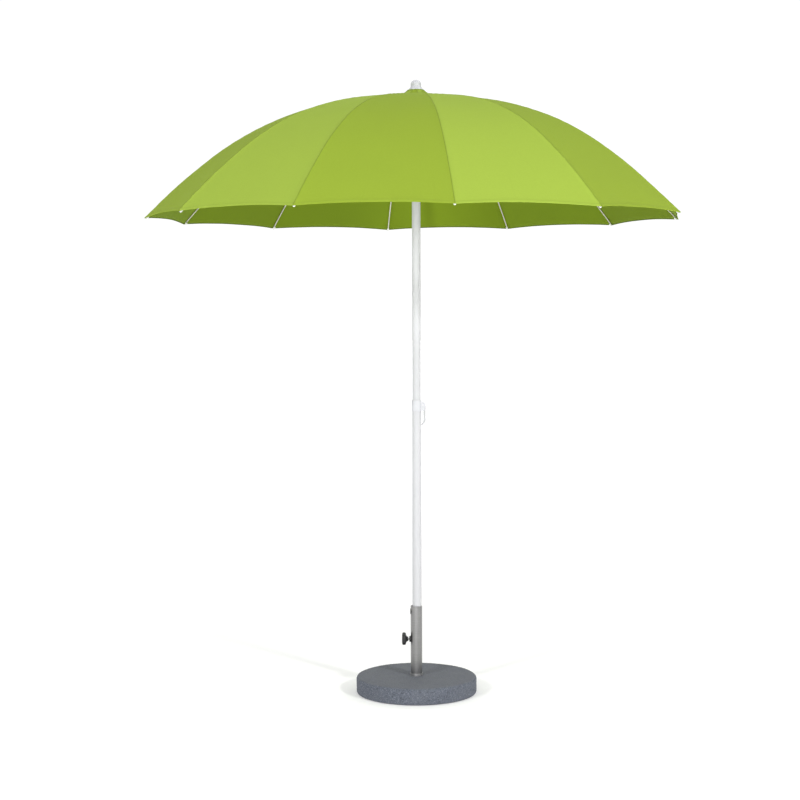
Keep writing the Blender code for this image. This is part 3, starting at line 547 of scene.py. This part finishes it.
def column_places(half):
    """Distances from the seam for one half of a sector, from the seam's line to mid-gore."""
    seam = [0.0, SEAM_DITCH, SEAM_DITCH + 0.0004, SEAM_HALF, SEAM_HALF + SEAM_EDGE]
    start = seam[-1]
    rest = [start + (half - start) * step / COLUMNS_ACROSS for step in range(1, COLUMNS_ACROSS + 1)]
    return seam + rest


def band_rows(low, high):
    """Shares from 0 to 1 along a band, closer at its ends and at the hem."""
    length = high - low
    count = max(2, round(length / ROW_SPACING))
    rows = [step / count for step in range(count + 1)]
    rows += [0.001 / length, 1.0 - 0.001 / length]
    if high >= CLOTH_EDGE:
        steep = math.hypot(1.0, (cloth_height(high) - cloth_height(high - 0.01)) / 0.01)
        for edge in (HEM_WIDTH + 0.0002, HEM_WIDTH - 0.0012, HEM_ROLL, 0.5 * HEM_ROLL):
            rows.append(1.0 - edge / (length * steep))
    return sorted(set(rows))


def cloth_grid(bm, low, high, angle):
    """Adds a band's vertices. Returns them in rows, with each one's place on the flat cloth."""
    hemmed = high >= CLOTH_EDGE
    spots = {}
    grid = []
    for row in band_rows(low, high):
        line = []
        s_here = low + (high - low) * row
        half_here = half_width(s_here)
        places = column_places(half_here)
        for place in [-p for p in reversed(places)] + places[1:]:
            outer = high
            if hemmed:
                outer -= SCALLOP * (1.0 - (1.0 - abs(place) / half_here) ** 2)
            s = low + (outer - low) * row
            across = place * s / s_here
            from_edge = cloth_length(s) - (cloth_length(outer) if hemmed else 0.0)
            vertex = bm.verts.new(cloth_point(s, across, angle, from_edge))
            spots[vertex] = (across, from_edge)
            line.append(vertex)
        grid.append(line)
    return grid, spots


def to_mesh(bm, name):
    """Turns an edited mesh into mesh data and frees it."""
    mesh = bpy.data.meshes.new(name)
    bm.to_mesh(mesh)
    bm.free()
    return mesh


def cloth_mesh(name, low, high, angle):
    """One band of a sector. Its two gores meet on the rib, one in slot 0 and one in slot 1."""
    bm = bmesh.new()
    layer = bm.loops.layers.uv.new("cloth")
    grid, spots = cloth_grid(bm, low, high, angle)
    for first, second in zip(grid, grid[1:]):
        for column in range(len(first) - 1):
            face = bm.faces.new((first[column], second[column], second[column + 1], first[column + 1]))
            face.material_index = 0 if column < (len(first) - 1) // 2 else 1
    for face in bm.faces:
        face.smooth = True
        for loop in face.loops:
            loop[layer].uv = spots[loop.vert]
    for edge in bm.edges:
        edge.smooth = not edge.is_boundary
    bmesh.ops.recalc_face_normals(bm, faces=bm.faces)
    if sum(face.normal.z for face in bm.faces) < 0.0:
        bmesh.ops.reverse_faces(bm, faces=bm.faces)
    bm.transform(Matrix.Rotation(angle, 4, "Z"))
    return to_mesh(bm, name)


def place_mesh(name, mesh, *looks):
    """Adds an object for the mesh, with one material slot for each look."""
    for look in looks:
        mesh.materials.append(look)
    piece = bpy.data.objects.new(name, mesh)
    scene.collection.objects.link(piece)
    return piece


def thicken(piece):
    """Gives a sheet its thickness, with the two underside cloths of slots 2 and 3 below, darker copies that carry
    painted shade.
    """
    wall = piece.modifiers.new("thickness", "SOLIDIFY")
    wall.thickness = CLOTH_THICKNESS
    wall.offset = -1.0
    wall.material_offset = 2


def build_cloth():
    """Each rib's sector of the canopy: a strip that bends at the crown, and bands that ride the rib."""
    for number in range(1, RIB_COUNT + 1):
        joint = JOINTS[f"rib_hinge_{number:02d}"]
        arm = joint["child"]
        pivot = Vector(joint["pos_m"])
        angle = math.atan2(pivot.y, pivot.x)
        # Odd and even ribs swap the two painted sheen tones, so that neighbouring gores alternate.
        looks = CLOTH if number % 2 else (CLOTH[1], CLOTH[0], CLOTH[3], CLOTH[2])
        name = f"crown_strip_{number:02d}"
        strip = place_mesh(name, cloth_mesh(name, CROWN_EDGE, CROWN_STRIP_END, angle), *looks)
        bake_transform(strip)
        thicken(strip)
        for band, (low, high) in enumerate(zip(BAND_EDGES, BAND_EDGES[1:]), start=1):
            name = f"canopy_{number:02d}_band_{band}"
            piece = place_mesh(name, cloth_mesh(name, low, high, angle), *looks)
            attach(piece, arm)
            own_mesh(piece)
            thicken(piece)
            if band == 1:
                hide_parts(f"canopy_sector_{number:02d}")


build_cloth()


# Solid shapes


def shade_mesh(mesh, smooth_below):
    """Smooth shading, with edges above the given angle in degrees kept sharp."""
    mesh.shade_smooth()
    mesh.set_sharp_from_angle(angle=math.radians(smooth_below))
    return mesh


def turned_mesh(name, outline, segments, smooth_below=35.0):
    """An outline of (radius, z) points turned about the Z axis."""
    bm = bmesh.new()
    points = [bm.verts.new((radius, 0.0, z)) for radius, z in outline]
    edges = [bm.edges.new(pair) for pair in zip(points, points[1:])]
    bmesh.ops.spin(bm, geom=points + edges, cent=(0, 0, 0), axis=(0, 0, 1), angle=2.0 * math.pi,
                   steps=segments, use_merge=True)
    bmesh.ops.remove_doubles(bm, verts=bm.verts, dist=1e-6)
    bmesh.ops.recalc_face_normals(bm, faces=bm.faces)
    return shade_mesh(to_mesh(bm, name), smooth_below)


def rounded(x, z, radius, start, end, steps):
    """Points on an arc, with its ends in degrees."""
    angles = [math.radians(start + (end - start) * step / steps) for step in range(steps + 1)]
    return [(x + radius * math.cos(a), z + radius * math.sin(a)) for a in angles]


def build_crown_cap():
    """The doubled cloth washer under the finial, with a bound edge."""
    top = CROWN_CLOTH_TOP
    edge = CROWN_EDGE + 0.0006
    outline = [(CAP_BORE, top - 0.0012), (CAP_BORE, top), (edge - 0.0030, top)]
    outline += rounded(edge - 0.0012, top - 0.0010, 0.0014, 80.0, -90.0, 8)
    outline += [(0.0300, top - 0.0016), (CAP_BORE, top - 0.0012)]
    piece = place_mesh("crown_cap", turned_mesh("crown_cap", outline, 72), CROWN_CLOTH)
    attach(piece, "upper_pole")


def build_finial():
    """The cap on the crown: a stem, a flange with a short skirt to the cloth, a flare and a dome."""
    low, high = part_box("finial")
    flange = high.x
    seat = high.z - FINIAL_RISE
    lip = flange - 0.0008
    outline = [(0.0, low.z), (FINIAL_STEM - CHAMFER, low.z)]
    outline += [(FINIAL_STEM, low.z + CHAMFER), (FINIAL_STEM, seat)]
    outline += [(flange - 0.0030, seat), (flange - 0.0030, CROWN_CLOTH_TOP), (lip, CROWN_CLOTH_TOP)]
    outline += rounded(lip, CROWN_CLOTH_TOP + 0.0008, 0.0008, -45.0, 0.0, 3)
    outline += [(flange - 0.0002, seat - 0.0006)]
    flare = [(FINIAL_BODY + (flange - 0.0006 - FINIAL_BODY) * (1.0 - t) ** 1.7, seat + 0.0016 + 0.0120 * t)
             for t in (0.10, 0.25, 0.40, 0.55, 0.70, 0.85, 1.0)]
    dome_height = high.z - seat - FINIAL_DOME_BASE
    dome = [(FINIAL_BODY * math.cos(a), seat + FINIAL_DOME_BASE + dome_height * math.sin(a))
            for a in [math.radians(90.0 * step / 14) for step in range(15)]]
    dome[-1] = (0.0, high.z)
    piece = place_mesh("finial_cap", turned_mesh("finial_cap", outline + flare + dome, 72), WHITE)
    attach(piece, "upper_pole")
    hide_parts("finial")


def holed_plate(bm, outline, hole, hole_radius, half, look):
    """Adds a flat plate in the rib's plane, with one round hole, between y = -half and half."""
    before = set(bm.faces)
    edges = []
    circle = rounded(hole[0], hole[1], hole_radius, 0.0, 345.0, 23)
    for ring in (outline, circle):
        verts = [bm.verts.new((x, -half, z)) for x, z in ring]
        edges += [bm.edges.new((verts[i], verts[(i + 1) % len(verts)])) for i in range(len(verts))]
    filled = bmesh.ops.triangle_fill(bm, edges=edges, use_beauty=True)
    faces = [item for item in filled["geom"] if isinstance(item, bmesh.types.BMFace)]
    grown = bmesh.ops.extrude_face_region(bm, geom=faces, use_keep_orig=True)
    moved = [item for item in grown["geom"] if isinstance(item, bmesh.types.BMVert)]
    bmesh.ops.translate(bm, verts=moved, vec=(0.0, 2.0 * half, 0.0))
    for face in set(bm.faces) - before:
        face.material_index = look


def sweep(bm, layer, path, radii, sides, look):
    """Adds a closed round bar along a path of points in the rib's plane."""
    rows = []
    run = 0.0
    spots = {}
    for number, (x, z) in enumerate(path):
        before, after = path[max(0, number - 1)], path[min(len(path) - 1, number + 1)]
        tangent = Vector((after[0] - before[0], 0.0, after[1] - before[1])).normalized()
        up = Vector((-tangent.z, 0.0, tangent.x))
        if number:
            run += math.dist((x, z), path[number - 1])
        row = []
        for side in range(sides):
            lean = 2.0 * math.pi * side / sides
            offset = up * math.sin(lean) + Vector((0.0, math.cos(lean), 0.0))
            vertex = bm.verts.new(Vector((x, 0.0, z)) + offset * radii[number])
            spots[vertex] = (lean * radii[number], run)
            row.append(vertex)
        rows.append(row)
    made = []
    for first, second in zip(rows, rows[1:]):
        for side in range(sides):
            beyond = (side + 1) % sides
            made.append(bm.faces.new((first[side], first[beyond], second[beyond], second[side])))
    made += [bm.faces.new(rows[0]), bm.faces.new(rows[-1])]
    for face in made:
        face.material_index = look
        for loop in face.loops:
            loop[layer].uv = spots[loop.vert]


def capsule(centre_line, radius, rounding):
    """Path and radii of a rod with rounded ends along a straight line of two points."""
    (x0, z0), (x1, z1) = centre_line
    length = math.dist((x0, z0), (x1, z1))
    shares, radii = [], []
    for step in range(6):
        turn = 0.5 * math.pi * step / 5
        shares.append(rounding * (1.0 - math.cos(turn)) / length)
        radii.append(radius - rounding + rounding * math.sin(turn))
    shares += [1.0 - share for share in reversed(shares)]
    radii += list(reversed(radii))
    radii[0] = radii[-1] = max(radius - rounding, 0.0004)
    return [(x0 + (x1 - x0) * t, z0 + (z1 - z0) * t) for t in shares], radii


def rib_mesh(name, eye, clip, angle):
    """A smooth rod with its crown eye, its clip for the strut and a white cap on its tip."""
    bm = bmesh.new()
    layer = bm.loops.layers.uv.new("cloth")

    def sleeve(stations, depth, radius, rounding, sides, look):
        line, radii = capsule([below_cloth(s, depth) for s in stations], radius, rounding)
        sweep(bm, layer, line, radii, sides, look)

    start = eye[0] + ROD_START
    path = [below_cloth(start + (ROD_END - start) * step / RIB_STATIONS, RIB_BELOW_CLOTH)
            for step in range(RIB_STATIONS + 1)]
    sweep(bm, layer, path, [RIB_RADIUS] * len(path), RIB_SIDES, 0)
    tongue = rounded(eye[0], eye[1], EYE_RADIUS, 45.0, 315.0, 14)
    tongue += [(eye[0] + 0.0120, eye[1] - 0.0029), (eye[0] + 0.0160, eye[1] - 0.0022)]
    tongue += [(eye[0] + 0.0160, eye[1] + 0.0020), (eye[0] + 0.0120, eye[1] + 0.0026)]
    holed_plate(bm, tongue, eye, EYE_HOLE_RADIUS, PLATE_HALF, 1)
    lug = rounded(clip[0], clip[1], EYE_RADIUS, -165.0, -15.0, 10)
    lug += [(clip[0] + 0.0080, clip[1] + 0.0030), (clip[0] - 0.0060, clip[1] + 0.0085)]
    holed_plate(bm, lug, clip, EYE_HOLE_RADIUS, PLATE_HALF, 1)
    clip_ends = (CLIP_STATION - 0.013, CLIP_STATION + 0.015)
    sleeve(clip_ends, RIB_BELOW_CLOTH + 0.0004, SLEEVE_RADIUS, 0.0008, 18, 1)
    sleeve((start + 0.016, start + 0.040), RIB_BELOW_CLOTH, COLLAR_RADIUS, 0.0006, 18, 1)
    tip = (CANOPY_RADIUS - 0.5 * TIP_CAP_LENGTH, CANOPY_RADIUS + 0.45 * TIP_CAP_LENGTH)
    sleeve(tip, RIB_BELOW_CLOTH + TIP_CAP_BELOW, TIP_CAP_RADIUS, TIP_CAP_RADIUS - 0.0005, 20, 2)
    bmesh.ops.recalc_face_normals(bm, faces=bm.faces)
    bm.transform(Matrix.Rotation(angle, 4, "Z"))
    return shade_mesh(to_mesh(bm, name), 40.0)


def build_ribs():
    """One moulded rib on each hinge, in place of the model's plain one."""
    for number in range(1, RIB_COUNT + 1):
        joint = JOINTS[f"rib_hinge_{number:02d}"]
        pivot = Vector(joint["pos_m"])
        clip_at = Vector(JOINTS[f"strut_hinge_{number:02d}"]["pos_m"])
        angle = math.atan2(pivot.y, pivot.x)
        eye = (math.hypot(pivot.x, pivot.y), pivot.z)
        clip = (math.hypot(clip_at.x, clip_at.y), clip_at.z)
        name = f"rib_frame_{number:02d}"
        piece = place_mesh(name, rib_mesh(name, eye, clip, angle), ROD, WHITE, TIP_LIT_WHITE)
        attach(piece, joint["child"])
        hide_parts(f"rib_{number:02d}")


def slab_outline(low, high, radius):
    """The slab's section as (radius, z) points, with a recess for the bolt's head underneath."""
    inner = radius - SLAB_TOP_ROUND
    shares = [(step / SLAB_FLAT_RINGS) ** 0.8 for step in range(1, SLAB_FLAT_RINGS)]
    outline = [(SLAB_BORE, high)]
    outline += [(SLAB_BORE + (inner - SLAB_BORE) * share, high) for share in shares]
    outline += rounded(inner, high - SLAB_TOP_ROUND, SLAB_TOP_ROUND, 90.0, 4.0, 7)
    side_top, side_low = high - SLAB_TOP_ROUND, low + SLAB_LOW_ROUND
    outline += [(radius, side_top + (side_low - side_top) * step / SLAB_SIDE_ROWS)
                for step in range(1, SLAB_SIDE_ROWS)]
    outline += rounded(radius - SLAB_LOW_ROUND, side_low, SLAB_LOW_ROUND, -4.0, -90.0, 8)
    outline += [(0.16, low), (0.08, low), (SLAB_RECESS, low)]
    outline += [(SLAB_RECESS, low + SLAB_RECESS_DEPTH), (SLAB_BORE, low + SLAB_RECESS_DEPTH)]
    return outline + [(SLAB_BORE, high)]


def slab_push(place, side):
    """How far the cast surface stands off its turned shape. side is 0 on top and 1 on the side."""
    rough = noise.noise(place * 190.0) * 0.00055 + noise.noise(place * 75.0) * 0.0006
    pit = max(0.0, noise.noise(place * 120.0 + Vector((9.0, 3.0, 5.0))) - 0.42) * 0.006
    wave = noise.noise(place * 11.0) * 0.0007
    push = side * (rough - pit) + wave * (0.4 + 0.6 * side) - 0.0007 * side
    return push + (1.0 - side) * noise.noise(place * 60.0) * 0.00015


def build_slab():
    """The cast slab: smooth on top, with a rough side that is pitted and slightly uneven."""
    low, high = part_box("base_slab")
    centre = 0.5 * (low + high)
    radius = 0.5 * (high.x - low.x) + SLAB_SKIN
    mesh = turned_mesh("cast_slab", slab_outline(low.z, high.z, radius), 360, 60.0)
    normals = [vertex.normal.copy() for vertex in mesh.vertices]
    for vertex, normal in zip(mesh.vertices, normals):
        place = vertex.co.copy()
        out = math.hypot(place.x, place.y)
        if out < 0.03 or place.z < low.z + 0.001:
            continue
        side = smooth((out - (radius - SLAB_TOP_ROUND) + 0.004) / 0.010)
        vertex.co = place + normal * slab_push(place, side)
    mesh.transform(Matrix.Translation((centre.x, centre.y, 0.0)))
    piece = place_mesh("cast_slab", mesh, CONCRETE)
    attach(piece, "stand")
    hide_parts("base_slab")


def softened(node, width, look, segments=2, keep_angle=28.0):
    """A copy of a model part with its sharp edges rounded, as a moulded or deburred part has them."""
    bm = bmesh.new()
    bm.from_mesh(frame["nodes"][node].data)
    bmesh.ops.remove_doubles(bm, verts=bm.verts, dist=2e-6)
    bmesh.ops.dissolve_limit(bm, angle_limit=math.radians(0.6), verts=bm.verts, edges=bm.edges)
    sharp = [edge for edge in bm.edges
             if len(edge.link_faces) == 2 and edge.calc_face_angle(0.0) > math.radians(keep_angle)]
    bmesh.ops.bevel(bm, geom=sharp, offset=width, offset_type="OFFSET", segments=segments, profile=0.5,
                    affect="EDGES", clamp_overlap=True)
    bmesh.ops.triangulate(bm, faces=[face for face in bm.faces if len(face.verts) > 4])
    name = node + "_moulded"
    piece = place_mesh(name, shade_mesh(to_mesh(bm, name), 38.0), look)
    bodies = frame["record"]["behaviour"]["bodies"]
    body = next(name for name, nodes in bodies.items() if node in nodes)
    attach(piece, body)
    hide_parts(node)


def dress_nodes():
    """Gives the model parts that show as they are their finished materials."""
    looks = {"concrete": CONCRETE, "rubber": RUBBER, "brushed_steel": STEEL, "zinc_plate": ZINC,
             "black_plastic": BLACK, "nylon": NYLON, "white_paint": PAINT, "white_plastic": WHITE,
             "spring_steel": SPRING_STEEL, "fibreglass": ROD, "strut_paint": STRUT_PAINT,
             "canopy_cloth": CLOTH[0]}
    for part in frame["record"]["subparts"]:
        node = frame["nodes"][part["node"]]
        look = looks[part["material_slot"]]
        if not node.material_slots:
            node.data.materials.append(look)
        for place in node.material_slots:
            place.material = look


dress_nodes()
build_crown_cap()
build_finial()
build_ribs()
build_slab()
softened("clamp_collar", 0.0007, WHITE)
softened("cam_lever", 0.0010, LEVER_SHADED_WHITE, 3)
softened("runner", 0.0006, WHITE)
softened("clamp_boss", 0.0004, BLACK)
softened("blanking_plug", 0.0004, BLACK)
softened("clamp_knob", 0.0008, BLACK, keep_angle=20.0)
softened("crown_hub", 0.0004, WHITE)


# Stage


def build_floor():
    """A pale floor that fades to white away from the slab."""
    bm = bmesh.new()
    bmesh.ops.create_grid(bm, x_segments=1, y_segments=1, size=FLOOR_SIZE)
    look = Look("pale_floor", roughness=0.95)
    look.set("Base Color", look.mix(look.noise(0.7, 2.0), (0.84, 0.84, 0.84), (0.86, 0.86, 0.86)))
    look.set("Emission Color", (1.0, 1.0, 1.0))
    away = look.node("ShaderNodeVectorMath", (("operation", "LENGTH"),), ((0, look.place()),))
    look.set("Emission Strength", look.fade(away.outputs["Value"], *FLOOR_FADE))
    floor = place_mesh("floor", to_mesh(bm, "floor"), look.material)


def build_world():
    """White light whose strength is the product of one smooth share along each axis."""
    world = bpy.data.worlds.new("studio")
    world.use_nodes = True
    tree = world.node_tree
    split = tree.nodes.new("ShaderNodeSeparateXYZ")
    tree.links.new(tree.nodes.new("ShaderNodeTexCoord").outputs["Generated"], split.inputs[0])
    level = None
    for axis, values in SKY_SHARES:
        share = tree.nodes.new("ShaderNodeMapRange")
        share.interpolation_type = "SMOOTHSTEP"
        for number, value in enumerate(values, start=1):
            share.inputs[number].default_value = value
        tree.links.new(split.outputs[axis], share.inputs[0])
        both = tree.nodes.new("ShaderNodeMath")
        both.operation = "MULTIPLY"
        both.inputs[1].default_value = 1.0
        tree.links.new(share.outputs[0], both.inputs[0])
        if level is not None:
            tree.links.new(level, both.inputs[1])
        level = both.outputs[0]
    background = tree.nodes["Background"]
    tree.links.new(level, background.inputs[1])
    background.inputs[0].default_value = (1.0, 1.0, 1.0, 1.0)
    scene.world = world


def add_lamp(name, kind, power, location, target):
    """Adds a lamp that points at the target, and returns its settings."""
    lamp = bpy.data.lights.new(name, kind)
    lamp.energy = power
    holder = bpy.data.objects.new(name, lamp)
    scene.collection.objects.link(holder)
    holder.location = location
    holder.rotation_euler = (target - holder.location).to_track_quat("-Z", "Y").to_euler()
    return lamp


def softbox(name, azimuth, height, distance, size, power):
    """A round soft light at the azimuth, in degrees to the right of the camera's side."""
    turn = math.radians(azimuth)
    location = (distance * math.sin(turn), -distance * math.cos(turn), height)
    lamp = add_lamp(name, "AREA", power, location, LAMP_AIM)
    lamp.shape = "DISK"
    lamp.size = size


def build_lights():
    """Two high soft lights, a low one that lifts the underside, and a spot on the upper pole."""
    softbox("key", 40.0, 3.9, 6.5, 0.6, 230.0)
    softbox("fill", -38.0, 3.9, 6.5, 0.7, 165.0)
    softbox("low_bounce", -4.0, 0.5, 5.2, 1.6, 38.0)
    spot = add_lamp("pole_spot", "SPOT", SPOT_POWER, SPOT_PLACE, SPOT_AIM)
    spot.spot_size = SPOT_ANGLE
    spot.spot_blend = 1.0
    spot.shadow_soft_size = 0.2


build_floor()
build_world()
build_lights()
scene.view_settings.view_transform = "Standard"
